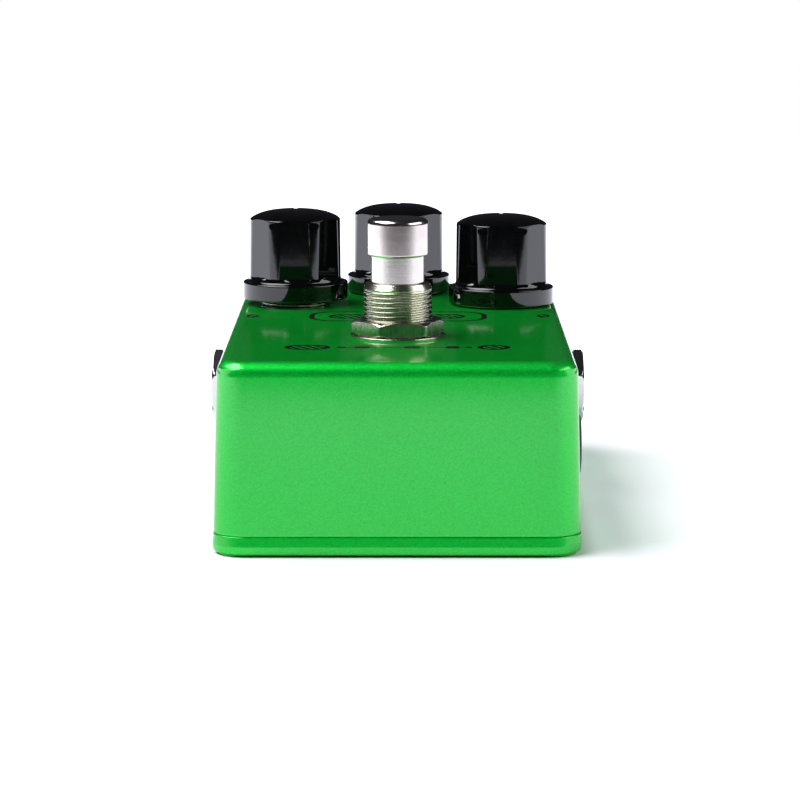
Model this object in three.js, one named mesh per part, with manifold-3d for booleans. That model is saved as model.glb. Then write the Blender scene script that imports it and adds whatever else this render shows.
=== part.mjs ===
// A compact guitar effects pedal: a die-cast box with three knobs, a footswitch, two side jacks
// and a power jack. Millimetres, +Z up, +X right, -Y towards the player's foot.
// The origin is the centre of the rectangle that the pads of the bottom cover stand on.
import * as THREE from 'three';
import { mergeVertices } from 'three/addons/utils/BufferGeometryUtils.js';
import Module from 'manifold-3d';

const wasm = await Module();
wasm.setup();

// ---- Driving dimensions -------------------------------------------------------------------
const HAIR = 0.15;                       // clearance of a fitted piece, on the radius
const GAP = 0.3;                         // clearance of a piece cut by its neighbour
const SIDES = 20;                        // flats round a turned piece
const FEW = 12;                          // flats round a small hole or rod
const BOX = { halfX: 30.3, halfY: 55.3, splitZ: 3.4, topZ: 32, cornerR: 5.5, edgeR: 2.3, wall: 2.2, draft: 0.75 };
const COVER = { halfX: 30.45, halfY: 55.45, bottomZ: 0.7, cornerR: 5.6, edgeR: 1.2, padR: 4.0 };
const POST = { x: 25.6, y: 50.6, r: 3.6, holeR: 1.6, depth: 15 };
const SCREW = { headR: 2.7, headH: 1.7, shankR: 1.25, length: 11, recessR: 3.0, recessH: 2.0 };
const KNOBS = [
  { side: 'left', x: -18.9, y: 22, baseZ: 33.1 },
  { side: 'centre', x: 0, y: 39.8, baseZ: 32.3 },
  { side: 'right', x: 18.9, y: 22, baseZ: 32.2 },
];
const KNOB = { skirtR: 9.6, skirtH: 3.1, bodyFootR: 8.45, bodyTopR: 8.3, brimH: 14.7, domeH: 16.3, flutes: 7,
  fluteDepthR: 7.9, fluteLow: 3.5, fluteHigh: 18, recessR: 7.3, recessH: 3.0, boreTop: 13.2 };
const INSERT = { r: 4.6, h: 9.6, lowH: 3.3 };
const POT = { shaftR: 3.0, bushR: 3.5, holeR: 3.8, caseX: 9.6, caseY: 11, caseH: 6.6,
  washerR: 6.3, washerH: 0.5, nutAF: 10, nutH: 2.0, shaftLowZ: 26.2, shaftAboveBase: 12.4 };
const SWITCH = { x: 0, y: -22.1, washerR: 8.1, washerH: 0.45, nutAF: 14, nutH: 2.5, bushR: 5.87, bushTopZ: 41.3,
  holeR: 6.2, plungerR: 4.5, plungerTopZ: 49, capR: 5.2, capLowZ: 46, capTopZ: 52.3, caseHalf: 8.6, caseTopZ: 26.9,
  caseH: 12.6, plungerLowZ: 33 };
const JACK = { y: 6, z: 19.1, boreR: 3.25, noseR: 4.6, faceX: 33.3, washerH: 1.1, washerR: 6.2, nutCornerR: 6.75,
  bodyFrontX: 27.3, bodyDepth: 19.5, bodyHalfY: 7, bodyHalfZ: 6.3, nutTurn: 4 };
const DC = { y: -15, z: 12, flangeR: 5.2, faceX: 31.8, flangeX: 30.35, boreR: 2.75, pinR: 1.0, bodyFrontX: 27.2,
  bodyDepth: 13, bodyHalfY: 6, bodyHalfZ: 5.6, noseR: 4.6 };
const LED = { x: 0, y: 22, lensR: 2.45, bezelR: 3.9, bezelTopZ: 33.1, topZ: 34.3 };
const CONTROL_BOARD = { x0: -25.5, x1: 25.5, y0: 15.5, y1: 46.5, z0: 21.6 };
const EFFECT_BOARD = { x0: -26, x1: 12.4, y0: -46, y1: -12, z0: 7.5 };
const BOARD_H = 1.6;
const BATTERY = { x0: -21.5, x1: 26.5, y0: 19.2, y1: 45.4, z0: 3.5, z1: 20.9 };

const panelUnderZ = BOX.topZ - BOX.wall;
const sideX = (z) => BOX.halfX - BOX.draft * (z - BOX.splitZ) / (BOX.topZ - BOX.splitZ);

// ---- Finishes -----------------------------------------------------------------------------
const finish = (color, roughness, metalness) => new THREE.MeshStandardMaterial({ color, roughness, metalness });
const FINISH = {
  greenPaint: () => finish(0x1fb445, 0.35, 0.6),
  blackGloss: () => finish(0x0a0a0c, 0.12, 0),
  blackPlastic: () => finish(0x151517, 0.5, 0),
  nickel: () => finish(0xc9c5bd, 0.25, 1),
  brass: () => finish(0xb08d45, 0.35, 1),
  steel: () => finish(0x9a9da1, 0.35, 1),
  board: () => finish(0x135c36, 0.45, 0),
  phenolic: () => finish(0x6b4a2a, 0.6, 0),
  lens: () => finish(0xd8d2d0, 0.1, 0),
  battery: () => finish(0x33353a, 0.45, 0.2),
  ribbon: () => finish(0x8f9298, 0.6, 0),
  capacitorSleeve: () => finish(0x1c2748, 0.4, 0),
};

// ---- Geometry helpers ---------------------------------------------------------------------
const toSolid = (geometry) => {
  const bare = geometry.clone();
  bare.deleteAttribute('normal');
  bare.deleteAttribute('uv');
  const merged = mergeVertices(bare, 1e-5);
  const mesh = new wasm.Mesh({
    numProp: 3,
    vertProperties: new Float32Array(merged.attributes.position.array),
    triVerts: new Uint32Array(merged.index.array),
  });
  return new wasm.Manifold(mesh);
};

const toGeometry = (solid) => {
  const mesh = solid.getMesh();
  const geometry = new THREE.BufferGeometry();
  geometry.setAttribute('position', new THREE.BufferAttribute(new Float32Array(mesh.vertProperties), 3));
  geometry.setIndex(new THREE.BufferAttribute(new Uint32Array(mesh.triVerts), 1));
  geometry.computeVertexNormals();
  return geometry;
};

/** A body made of the first solid, joined with some and cut by others. */
const combine = (first, { join = [], cut = [] }) => {
  let solid = toSolid(first);
  for (const piece of join) solid = solid.add(toSolid(piece));
  for (const piece of cut) solid = solid.subtract(toSolid(piece));
  return toGeometry(solid);
};

const block = (x0, x1, y0, y1, z0, z1) =>
  new THREE.BoxGeometry(x1 - x0, y1 - y0, z1 - z0).translate((x0 + x1) / 2, (y0 + y1) / 2, (z0 + z1) / 2);

/** A round rod standing on z0, with its axis along Z. */
const rod = (r, z0, z1, x = 0, y = 0, sides = SIDES) =>
  new THREE.CylinderGeometry(r, r, z1 - z0, sides).rotateX(Math.PI / 2).translate(x, y, (z0 + z1) / 2);

/** A body turned about Z from [radius, height] points that start and end on the axis. */
const turned = (points, sides = SIDES) =>
  new THREE.LatheGeometry(points.map(([r, z]) => new THREE.Vector2(r, z)), sides).rotateX(Math.PI / 2);

/** A ring turned about Z from a closed loop of [radius, height] points. */
const ring = (rIn, rOut, z0, z1, sides = SIDES, edge = 0) => turned([
  [rIn, z0], [rOut - edge, z0], [rOut, z0 + edge], [rOut, z1 - edge], [rOut - edge, z1], [rIn, z1], [rIn, z0],
].filter(([r, z], i, all) => i === 0 || r !== all[i - 1][0] || z !== all[i - 1][1]), sides);

const roundedRectangle = (halfX, halfY, r) => {
  const shape = new THREE.Shape();
  shape.moveTo(halfX - r, -halfY);
  shape.absarc(halfX - r, -halfY + r, r, -Math.PI / 2, 0, false);
  shape.absarc(halfX - r, halfY - r, r, 0, Math.PI / 2, false);
  shape.absarc(-halfX + r, halfY - r, r, Math.PI / 2, Math.PI, false);
  shape.absarc(-halfX + r, -halfY + r, r, Math.PI, 1.5 * Math.PI, false);
  return shape;
};

/** A block with round vertical corners and round upper and lower edges. */
const softBlock = (halfX, halfY, z0, z1, cornerR, edgeR, bevelSegments = 3, curveSegments = 4) => {
  const geometry = new THREE.ExtrudeGeometry(roundedRectangle(halfX, halfY, cornerR), {
    depth: z1 - z0 - 2 * edgeR, bevelThickness: edgeR, bevelSize: edgeR, bevelOffset: -edgeR,
    bevelSegments, curveSegments,
  });
  return geometry.translate(0, 0, z0 + edgeR);
};

/** Draws the sides in with height, as the draft of a casting does. */
const withDraft = (geometry) => {
  const at = geometry.attributes.position;
  for (let i = 0; i < at.count; i += 1) {
    const rise = Math.max(0, at.getZ(i) - BOX.splitZ) / (BOX.topZ - BOX.splitZ);
    at.setX(i, at.getX(i) * (1 - rise * BOX.draft / BOX.halfX));
    at.setY(i, at.getY(i) * (1 - rise * BOX.draft / BOX.halfY));
  }
  return geometry;
};

/** A hexagonal nut standing on z = 0 with chamfered corners and a round hole. */
const hexNut = (cornerR, height, holeR, sides = SIDES) => {
  const prism = toSolid(new THREE.CylinderGeometry(cornerR, cornerR, height, 6).rotateX(Math.PI / 2)
    .translate(0, 0, height / 2));
  const flatR = cornerR * Math.cos(Math.PI / 6);
  const drop = (cornerR - flatR) * 0.55;
  const crown = toSolid(turned([[0, -0.01], [cornerR + 0.1, -0.01], [cornerR + 0.1, height - drop],
    [flatR, height + 0.01], [0, height + 0.01]]));
  return toGeometry(prism.intersect(crown).subtract(toSolid(rod(holeR, -1, height + 1, 0, 0, sides))));
};

const cornerRadius = (acrossFlats) => acrossFlats / 2 / Math.cos(Math.PI / 6);

/** Turns a piece modelled along +Z so that it points along +X (side 1) or -X (side -1). */
const alongX = (geometry, side) => geometry.rotateY(side * Math.PI / 2);

const fourCorners = [[1, -1], [-1, -1], [1, 1], [-1, 1]].map(([sx, sy]) => [sx * POST.x, sy * POST.y]);

const pedal = new THREE.Group();
const add = (name, geometry, material, parent = pedal) => {
  const mesh = new THREE.Mesh(geometry, material);
  mesh.name = name;
  parent.add(mesh);
  return mesh;
};

// ---- Casing -------------------------------------------------------------------------------
const makeEnclosure = () => {
  const lowZ = BOX.splitZ - 2 * BOX.edgeR;
  const outer = withDraft(softBlock(BOX.halfX, BOX.halfY, lowZ, BOX.topZ, BOX.cornerR, BOX.edgeR));
  const innerHalfX = BOX.halfX - BOX.wall;
  const innerHalfY = BOX.halfY - BOX.wall;
  const cavity = withDraft(softBlock(innerHalfX, innerHalfY, lowZ - 4, panelUnderZ, BOX.cornerR - BOX.wall, 1, 1, 3));
  let shell = toSolid(outer).subtract(toSolid(cavity));
  for (const [x, y] of fourCorners) shell = shell.add(toSolid(rod(POST.r, BOX.splitZ, panelUnderZ + 1, x, y, 16)));
  shell = shell.subtract(toSolid(block(-40, 40, -70, 70, lowZ - 10, BOX.splitZ)));
  const holes = [
    ...fourCorners.map(([x, y]) => rod(POST.holeR, BOX.splitZ - 1, BOX.splitZ + POST.depth, x, y, 8)),
    ...KNOBS.map(({ x, y }) => rod(POT.holeR, 25, 35, x, y)),
    rod(SWITCH.holeR, 25, 35, SWITCH.x, SWITCH.y),
    rod(LED.lensR + 2 * HAIR + 0.35, 25, 35, LED.x, LED.y, FEW),
    ...[1, -1].map((side) => alongX(rod(JACK.noseR + GAP, 24, 36), side).translate(0, JACK.y, JACK.z)),
    alongX(rod(DC.noseR + GAP, 24, 36), 1).translate(0, DC.y, DC.z),
  ];
  for (const hole of holes) shell = shell.subtract(toSolid(hole));
  return toGeometry(shell);
};

const makeCover = () => {
  const slab = softBlock(COVER.halfX, COVER.halfY, COVER.bottomZ, BOX.splitZ + 2 * COVER.edgeR, COVER.cornerR, COVER.edgeR);
  const pads = fourCorners.map(([x, y]) => turned([[0, 0], [COVER.padR - 0.3, 0], [COVER.padR, 0.3],
    [COVER.padR, COVER.bottomZ + 1], [0, COVER.bottomZ + 1]], SIDES).translate(x, y, 0));
  const recesses = fourCorners.map(([x, y]) => rod(SCREW.recessR, -1, SCREW.recessH, x, y, FEW));
  const clearances = fourCorners.map(([x, y]) => rod(SCREW.shankR + GAP, 0, 6, x, y, 8));
  const above = block(-40, 40, -70, 70, BOX.splitZ, 20);
  return combine(slab, { join: pads, cut: [above, ...recesses, ...clearances] });
};

const makeCoverScrew = () => {
  const headTop = SCREW.recessH;
  const head = turned([[0, headTop - SCREW.headH], [SCREW.headR - 0.4, headTop - SCREW.headH],
    [SCREW.headR, headTop - SCREW.headH + 0.5], [SCREW.headR, headTop], [SCREW.shankR, headTop],
    [SCREW.shankR, headTop + SCREW.length], [0, headTop + SCREW.length]], FEW);
  const slotLength = 1.6;
  const slots = [block(-slotLength, slotLength, -0.25, 0.25, -1, 1), block(-0.25, 0.25, -slotLength, slotLength, -1, 1)];
  return combine(head, { cut: slots });
};

add('enclosure', makeEnclosure(), FINISH.greenPaint());
add('bottom_cover', makeCover(), FINISH.greenPaint());
fourCorners.forEach(([x, y], i) => {
  add(`cover_screw_${i + 1}`, makeCoverScrew(), FINISH.steel()).position.set(x, y, 0);
});

// ---- Knobs and their potentiometers ---------------------------------------------------------
/** The knob is turned, then seven shallow flats with sloping feet are cut into its side. */
const makeKnob = () => {
  const blank = turned([[0, 0], [KNOB.skirtR - 0.25, 0], [KNOB.skirtR, 0.25], [KNOB.skirtR, KNOB.skirtH - 0.4],
    [KNOB.skirtR - 0.5, KNOB.skirtH], [KNOB.bodyFootR, KNOB.skirtH + 0.25], [KNOB.bodyTopR, KNOB.brimH],
    [KNOB.bodyTopR * 0.8, KNOB.brimH + 0.85], [KNOB.bodyTopR * 0.4, KNOB.brimH + 1.45], [0, KNOB.domeH]], 30);
  const flute = new THREE.Shape([
    [KNOB.fluteDepthR, KNOB.fluteLow + 1.5], [KNOB.bodyFootR, KNOB.fluteLow], [KNOB.skirtR + 3, KNOB.fluteLow],
    [KNOB.skirtR + 3, KNOB.fluteHigh], [KNOB.fluteDepthR, KNOB.fluteHigh],
  ].map(([r, z]) => new THREE.Vector2(r, z)));
  const cutter = new THREE.ExtrudeGeometry(flute, { depth: 24, bevelEnabled: false }).translate(0, 0, -12)
    .rotateX(Math.PI / 2);
  const cutters = Array.from({ length: KNOB.flutes }, (_, k) =>
    cutter.clone().rotateZ(-Math.PI / 2 + (k * 2 * Math.PI) / KNOB.flutes));
  const hollow = [rod(KNOB.recessR, -1, KNOB.recessH), rod(INSERT.r, 0, INSERT.lowH + INSERT.h, 0, 0, FEW),
    rod(POT.shaftR + HAIR, 0, KNOB.boreTop, 0, 0, FEW)];
  const screwHole = rod(1.6, 3, 12, 0, 0, 8).rotateX(-Math.PI / 2).translate(0, 0, 8.5);
  return combine(blank, { cut: [...cutters, ...hollow, screwHole] });
};

const makeInsert = () => {
  const sleeve = rod(INSERT.r - HAIR, INSERT.lowH, INSERT.lowH + INSERT.h - GAP, 0, 0, FEW);
  const screwHole = rod(1.6, 2, 8, 0, 0, 8).rotateX(-Math.PI / 2).translate(0, 0, 8.5);
  return combine(sleeve, { cut: [rod(POT.shaftR + HAIR, 0, 20, 0, 0, FEW), screwHole] });
};

const makeSetScrew = () => {
  const socket = new THREE.CylinderGeometry(0.75, 0.75, 1.2, 6).rotateX(Math.PI / 2).translate(0, 0, 2.9);
  return combine(rod(1.35, 0, 3, 0, 0, 8), { cut: [socket] }).rotateX(-Math.PI / 2)
    .translate(0, POT.shaftR + 0.25, 8.5);
};

const makePotCase = () => combine(
  block(-POT.caseX / 2, POT.caseX / 2, -POT.caseY / 2, POT.caseY / 2, panelUnderZ - POT.caseH, panelUnderZ),
  { cut: [rod(POT.shaftR + GAP, POT.shaftLowZ - GAP, 40, 0, 0, FEW)] },
);

for (const { side, x, y, baseZ } of KNOBS) {
  const knob = new THREE.Group();
  knob.position.set(x, y, baseZ);
  pedal.add(knob);
  add(`knob_${side}`, makeKnob(), FINISH.blackGloss(), knob);
  add(`knob_insert_${side}`, makeInsert(), FINISH.brass(), knob);
  add(`knob_set_screw_${side}`, makeSetScrew(), FINISH.steel(), knob);

  const pot = new THREE.Group();
  pot.position.set(x, y, 0);
  pedal.add(pot);
  const nutZ = BOX.topZ + POT.washerH;
  add(`pot_shaft_${side}`, rod(POT.shaftR, POT.shaftLowZ, baseZ + POT.shaftAboveBase, 0, 0, FEW), FINISH.steel(), pot);
  add(`pot_case_${side}`, makePotCase(), FINISH.phenolic(), pot);
  add(`pot_bush_${side}`, ring(POT.shaftR + 0.25, POT.bushR, panelUnderZ, nutZ + POT.nutH), FINISH.nickel(), pot);
  add(`pot_washer_${side}`, ring(POT.bushR + HAIR, POT.washerR, BOX.topZ, nutZ), FINISH.nickel(), pot);
  add(`pot_nut_${side}`, hexNut(cornerRadius(POT.nutAF), POT.nutH, POT.bushR + HAIR), FINISH.nickel(), pot)
    .position.set(0, 0, nutZ);
}

// ---- Footswitch -----------------------------------------------------------------------------
const footswitch = new THREE.Group();
footswitch.position.set(SWITCH.x, SWITCH.y, 0);
pedal.add(footswitch);

const makeCap = () => turned([[0, SWITCH.plungerTopZ + HAIR], [SWITCH.plungerR - 0.6 + HAIR, SWITCH.plungerTopZ + HAIR],
  [SWITCH.plungerR - 0.6 + HAIR, SWITCH.capLowZ], [SWITCH.capR - 0.25, SWITCH.capLowZ],
  [SWITCH.capR, SWITCH.capLowZ + 0.25], [SWITCH.capR, SWITCH.capTopZ - 0.9], [SWITCH.capR - 0.3, SWITCH.capTopZ - 0.3],
  [SWITCH.capR - 0.9, SWITCH.capTopZ], [0, SWITCH.capTopZ]]);

const makePlunger = () => turned([[0, SWITCH.plungerLowZ], [SWITCH.plungerR, SWITCH.plungerLowZ],
  [SWITCH.plungerR, SWITCH.capLowZ - 0.02], [SWITCH.plungerR - 0.6, SWITCH.capLowZ - 0.02],
  [SWITCH.plungerR - 0.6, SWITCH.plungerTopZ], [0, SWITCH.plungerTopZ]]);

const makeSwitchBush = () => turned([[SWITCH.plungerR + 0.2, SWITCH.caseTopZ], [SWITCH.bushR, SWITCH.caseTopZ],
  [SWITCH.bushR, SWITCH.bushTopZ - 0.5], [SWITCH.bushR - 0.5, SWITCH.bushTopZ],
  [SWITCH.plungerR + 0.2, SWITCH.bushTopZ], [SWITCH.plungerR + 0.2, SWITCH.caseTopZ]]);

const makeTerminals = () => {
  const plateTopZ = SWITCH.caseTopZ - SWITCH.caseH;
  const plate = block(-8, 8, -8, 8, plateTopZ - 0.8, plateTopZ);
  const lugs = [-5, 0, 5].flatMap((x) => [-5, 0, 5].map((y) =>
    block(x - 1.1, x + 1.1, y - 0.35, y + 0.35, plateTopZ - 4.2, plateTopZ - 0.5)));
  return combine(plate, { join: lugs });
};

add('footswitch_cap', makeCap(), FINISH.nickel(), footswitch);
add('footswitch_plunger', makePlunger(), FINISH.nickel(), footswitch);
add('footswitch_bush', makeSwitchBush(), FINISH.nickel(), footswitch);
add('footswitch_washer', ring(SWITCH.bushR + HAIR, SWITCH.washerR, BOX.topZ, BOX.topZ + SWITCH.washerH),
  FINISH.nickel(), footswitch);
const footswitchNut = add('footswitch_nut', hexNut(cornerRadius(SWITCH.nutAF), SWITCH.nutH, SWITCH.bushR + HAIR),
  FINISH.nickel(), footswitch);
footswitchNut.position.set(0, 0, BOX.topZ + SWITCH.washerH);
footswitchNut.rotation.z = THREE.MathUtils.degToRad(37);
add('footswitch_inner_nut', hexNut(cornerRadius(SWITCH.nutAF), 2, SWITCH.bushR + HAIR), FINISH.nickel(), footswitch)
  .position.set(0, 0, SWITCH.caseTopZ + 0.4);
add('footswitch_case', block(-SWITCH.caseHalf, SWITCH.caseHalf, -SWITCH.caseHalf, SWITCH.caseHalf,
  SWITCH.caseTopZ - SWITCH.caseH, SWITCH.caseTopZ), FINISH.blackPlastic(), footswitch);
add('footswitch_terminals', makeTerminals(), FINISH.phenolic(), footswitch);

// ---- Side jacks -------------------------------------------------------------------------------
const makeJackBody = (side) => {
  const backX = JACK.bodyFrontX - JACK.bodyDepth;
  const shell = block(-JACK.bodyHalfZ, JACK.bodyHalfZ, -JACK.bodyHalfY, JACK.bodyHalfY, backX, JACK.bodyFrontX);
  const nose = rod(JACK.noseR, JACK.bodyFrontX - 1, JACK.faceX);
  return alongX(combine(shell, { join: [nose], cut: [rod(JACK.boreR, backX + 1.5, JACK.faceX + 1)] }), side);
};

for (const [name, side] of [['left', -1], ['right', 1]]) {
  const jack = new THREE.Group();
  jack.position.set(0, JACK.y, JACK.z);
  pedal.add(jack);
  const wallX = sideX(JACK.z - 6) + 0.02;
  const washerX = wallX + JACK.washerH;
  const holeR = JACK.noseR + HAIR;
  const nutH = JACK.faceX - washerX - 0.1;
  add(`jack_body_${name}`, makeJackBody(side), FINISH.blackPlastic(), jack);
  add(`jack_washer_${name}`, alongX(ring(holeR, JACK.washerR, wallX, washerX), side), FINISH.nickel(), jack);
  const nut = hexNut(JACK.nutCornerR, nutH, holeR).rotateZ(THREE.MathUtils.degToRad(side * JACK.nutTurn));
  add(`jack_nut_${name}`, alongX(nut.translate(0, 0, washerX), side), FINISH.nickel(), jack);
}

// ---- Power jack -------------------------------------------------------------------------------
const powerJack = new THREE.Group();
powerJack.position.set(0, DC.y, DC.z);
pedal.add(powerJack);

const makePowerBody = () => {
  const backX = DC.bodyFrontX - DC.bodyDepth;
  const shell = block(-DC.bodyHalfZ, DC.bodyHalfZ, -DC.bodyHalfY, DC.bodyHalfY, backX, DC.bodyFrontX);
  const nose = rod(DC.noseR, DC.bodyFrontX - 1, DC.faceX - 0.5);
  const flange = rod(DC.flangeR, DC.flangeX, DC.faceX);
  return alongX(combine(shell, { join: [nose, flange], cut: [rod(DC.boreR, backX + 2, DC.faceX + 1)] }), 1);
};

add('power_jack_body', makePowerBody(), FINISH.blackPlastic(), powerJack);
add('power_jack_pin', alongX(rod(DC.pinR, DC.bodyFrontX - DC.bodyDepth + 2, DC.faceX - 1.2, 0, 0, FEW), 1),
  FINISH.nickel(), powerJack);

// ---- Status lamp --------------------------------------------------------------------------------
const lensDome = Array.from({ length: 5 }, (_, i) => {
  const angle = (i / 4) * (Math.PI / 2);
  return [LED.lensR * Math.cos(angle), LED.topZ - LED.lensR + LED.lensR * Math.sin(angle)];
});
lensDome[4][0] = 0;
add('led_lens', turned([[0, 26.5], [LED.lensR, 26.5], ...lensDome], FEW), FINISH.lens()).position.set(LED.x, LED.y, 0);
add('led_bezel', ring(LED.lensR + HAIR, LED.bezelR, BOX.topZ, LED.bezelTopZ, SIDES, 0.4), FINISH.nickel())
  .position.set(LED.x, LED.y, 0);

// ---- Electronics --------------------------------------------------------------------------------
const makeBoard = ({ x0, x1, y0, y1, z0 }) => block(x0, x1, y0, y1, z0, z0 + BOARD_H);

const makeChip = () => {
  const body = block(-4.8, 4.8, -3.2, 3.2, 0.6, 3.9);
  const legs = [-3.8, -1.27, 1.27, 3.8].flatMap((x) => [-1, 1].map((side) =>
    block(x - 0.3, x + 0.3, side > 0 ? 2.9 : -3.9, side > 0 ? 3.9 : -2.9, 0, 2.2)));
  return combine(body, { join: legs });
};

/** A flat lead that drops from the control board's edge and runs back to the effect board. */
const makeRibbon = () => {
  const half = 0.4;
  const route = [[17, 21.3], [16.2, 20.6], [15.6, 18], [14.8, 12.5], [12.6, 10.1], [9, 9.6], [-13, 9.6]];
  const edge = (sign) => route.map(([y, z], i) => {
    const [ya, za] = route[Math.max(0, i - 1)];
    const [yb, zb] = route[Math.min(route.length - 1, i + 1)];
    const length = Math.hypot(yb - ya, zb - za);
    return new THREE.Vector2(y - (sign * half * (zb - za)) / length, z + (sign * half * (yb - ya)) / length);
  });
  const outline = new THREE.Shape([...edge(1), ...edge(-1).reverse()]);
  const strip = new THREE.ExtrudeGeometry(outline, { depth: 10, bevelEnabled: false }).translate(0, 0, -5);
  return strip.rotateY(Math.PI / 2).rotateX(Math.PI / 2);
};

const makeBatterySnap = () => {
  const snapX = BATTERY.x0 - 2.6;
  const middleZ = (BATTERY.z0 + BATTERY.z1) / 2;
  const middleY = (BATTERY.y0 + BATTERY.y1) / 2;
  return block(snapX, BATTERY.x0 - GAP, middleY - 11.5, middleY + 11.5, middleZ - 5, middleZ + 5);
};

add('control_board', makeBoard(CONTROL_BOARD), FINISH.board());
add('effect_board', makeBoard(EFFECT_BOARD), FINISH.board());
add('amplifier_chip', makeChip(), FINISH.blackPlastic()).position.set(-17, -39, EFFECT_BOARD.z0 + BOARD_H);
const boardTopZ = EFFECT_BOARD.z0 + BOARD_H;
add('filter_capacitor', turned([[0, boardTopZ], [3.15, boardTopZ], [3.15, boardTopZ + 10.7],
  [2.8, boardTopZ + 11], [0, boardTopZ + 11]], FEW), FINISH.capacitorSleeve()).position.set(4, -40, 0);
add('ribbon_lead', makeRibbon(), FINISH.ribbon());
add('battery', softBlock((BATTERY.x1 - BATTERY.x0) / 2, (BATTERY.y1 - BATTERY.y0) / 2, BATTERY.z0, BATTERY.z1, 2, 0.8, 1, 2)
  .translate((BATTERY.x0 + BATTERY.x1) / 2, (BATTERY.y0 + BATTERY.y1) / 2, 0), FINISH.battery());
add('battery_snap', makeBatterySnap(), FINISH.blackPlastic());

export default pedal;
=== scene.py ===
"""Compact guitar effects pedal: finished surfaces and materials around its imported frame.

Everything is in metres in the frame of the CAD model: X to the right, Y from the footswitch end to the
knob end, Z up. Sizes below are in millimetres, and `MM` turns them into metres when a mesh is made.
"""

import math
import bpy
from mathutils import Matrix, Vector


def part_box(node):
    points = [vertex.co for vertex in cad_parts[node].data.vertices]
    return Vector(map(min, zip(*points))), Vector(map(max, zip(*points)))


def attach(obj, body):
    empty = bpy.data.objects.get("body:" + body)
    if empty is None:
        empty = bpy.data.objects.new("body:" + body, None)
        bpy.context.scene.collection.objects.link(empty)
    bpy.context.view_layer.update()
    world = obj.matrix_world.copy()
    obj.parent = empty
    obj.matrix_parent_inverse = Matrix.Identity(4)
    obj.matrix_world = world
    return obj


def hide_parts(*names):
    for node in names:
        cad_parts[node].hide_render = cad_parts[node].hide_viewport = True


bl_info = {
    "name": "Guitar Effects Pedal",
    "version": (1, 0, 0),
    "blender": (4, 5, 0),
    "location": "View3D > Sidebar > Pedal",
    "description": "Builds the casing, knobs, footswitch, sockets and finishes of a guitar effects pedal",
    "category": "Add Mesh",
}

import bmesh
import bpy
import numpy as np
from bpy.props import FloatProperty, FloatVectorProperty, IntProperty, PointerProperty
from mathutils import Matrix, Vector

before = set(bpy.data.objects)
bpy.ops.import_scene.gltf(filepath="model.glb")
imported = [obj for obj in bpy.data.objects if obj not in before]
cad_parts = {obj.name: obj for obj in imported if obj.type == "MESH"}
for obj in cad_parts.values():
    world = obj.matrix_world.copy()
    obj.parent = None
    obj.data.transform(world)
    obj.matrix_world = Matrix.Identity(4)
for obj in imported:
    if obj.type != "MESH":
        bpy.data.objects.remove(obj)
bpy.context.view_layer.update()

MM = 0.001
TAU = 2 * math.pi
KNOB_SIDES = ("left", "centre", "right")
SET_SCREW_HEIGHT = 8.5  # millimetres above a knob's underside
COVER_SCREWS = [f"cover_screw_{k}" for k in range(1, 5)]
SHARP_ANGLE = 38  # degrees; a steeper edge is shaded sharp
MERGE_DISTANCE = 2e-6  # metres


def node_box(node):
    """Lowest and highest corner of a CAD node, in millimetres."""
    low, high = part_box(node)
    return np.array(low) / MM, np.array(high) / MM


def node_centre(node):
    """Middle of a CAD node's box, in millimetres."""
    low, high = node_box(node)
    return (low + high) / 2


def upright(node):
    """Radius, lowest and highest height of a CAD node that stands round about a vertical axis."""
    low, high = node_box(node)
    return (high[0] - low[0]) / 2, low[2], high[2]


# ---------------------------------------------------------------------------------------------
# Surfaces
# ---------------------------------------------------------------------------------------------


def rounded_profile(corners, steps=5, support=0.12):
    """Points of a polyline whose corners (a, z, radius) are replaced by true arcs.

    An arc touches both legs at radius / tan(half the corner's angle) from the corner. A support point
    stands a little before and after each arc, so that smooth shading stays flat on the flat stretches.
    """
    points = np.array([c[:2] for c in corners], float)
    made = [points[0]]
    for index in range(1, len(corners) - 1):
        here, radius = points[index], corners[index][2]
        if radius <= 0:
            made.append(here)
            continue
        back, ahead = points[index - 1] - here, points[index + 1] - here
        long_back, long_ahead = np.linalg.norm(back), np.linalg.norm(ahead)
        back, ahead = back / long_back, ahead / long_ahead
        half = math.acos(np.clip(back @ ahead, -1, 1)) / 2
        reach = radius / math.tan(half)
        centre = here + (back + ahead) / np.linalg.norm(back + ahead) * radius / math.sin(half)
        first, last = here + back * reach - centre, here + ahead * reach - centre
        sweep = math.pi - 2 * half
        share = np.linspace(0, 1, steps + 1)[:, None]
        arc = centre + (np.sin((1 - share) * sweep) * first + np.sin(share * sweep) * last) / math.sin(sweep)
        if reach + support < long_back * 0.5:
            made.append(here + back * (reach + support))
        made.extend(arc)
        if reach + support < long_ahead * 0.5:
            made.append(here + ahead * (reach + support))
    made.append(points[-1])
    return np.array(made)


def skin(name, rings, closed=False, sharp=SHARP_ANGLE):
    """A closed mesh over a grid of rings, shape (rows, columns, 3), in millimetres.

    Columns run anticlockwise about the axis. An open grid starts and ends on poles, where the first and
    last ring shrink to their middle point; a closed one joins its last ring to its first, as a ring does.
    """
    rows, columns, _ = rings.shape
    if closed:
        points = rings.reshape(-1, 3)
        starts = np.arange(rows)
    else:
        poles = np.array([rings[0].mean(0), rings[-1].mean(0)])
        points = np.vstack([rings[1:-1].reshape(-1, 3), poles])
        rows -= 2
        starts = np.arange(rows - 1)
    j = np.arange(columns)
    after = (j + 1) % columns
    low = starts[:, None] * columns
    high = ((starts + 1) % rows)[:, None] * columns
    quads = np.stack([low + j, low + after, high + after, high + j], axis=-1).reshape(-1, 4)
    faces = quads.tolist()
    if not closed:
        first, last, top = rows * columns, rows * columns + 1, (rows - 1) * columns
        faces += np.stack([np.full(columns, first), after, j], axis=-1).tolist()
        faces += np.stack([top + j, top + after, np.full(columns, last)], axis=-1).tolist()
    return piece_from(name, points, faces, sharp)


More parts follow.
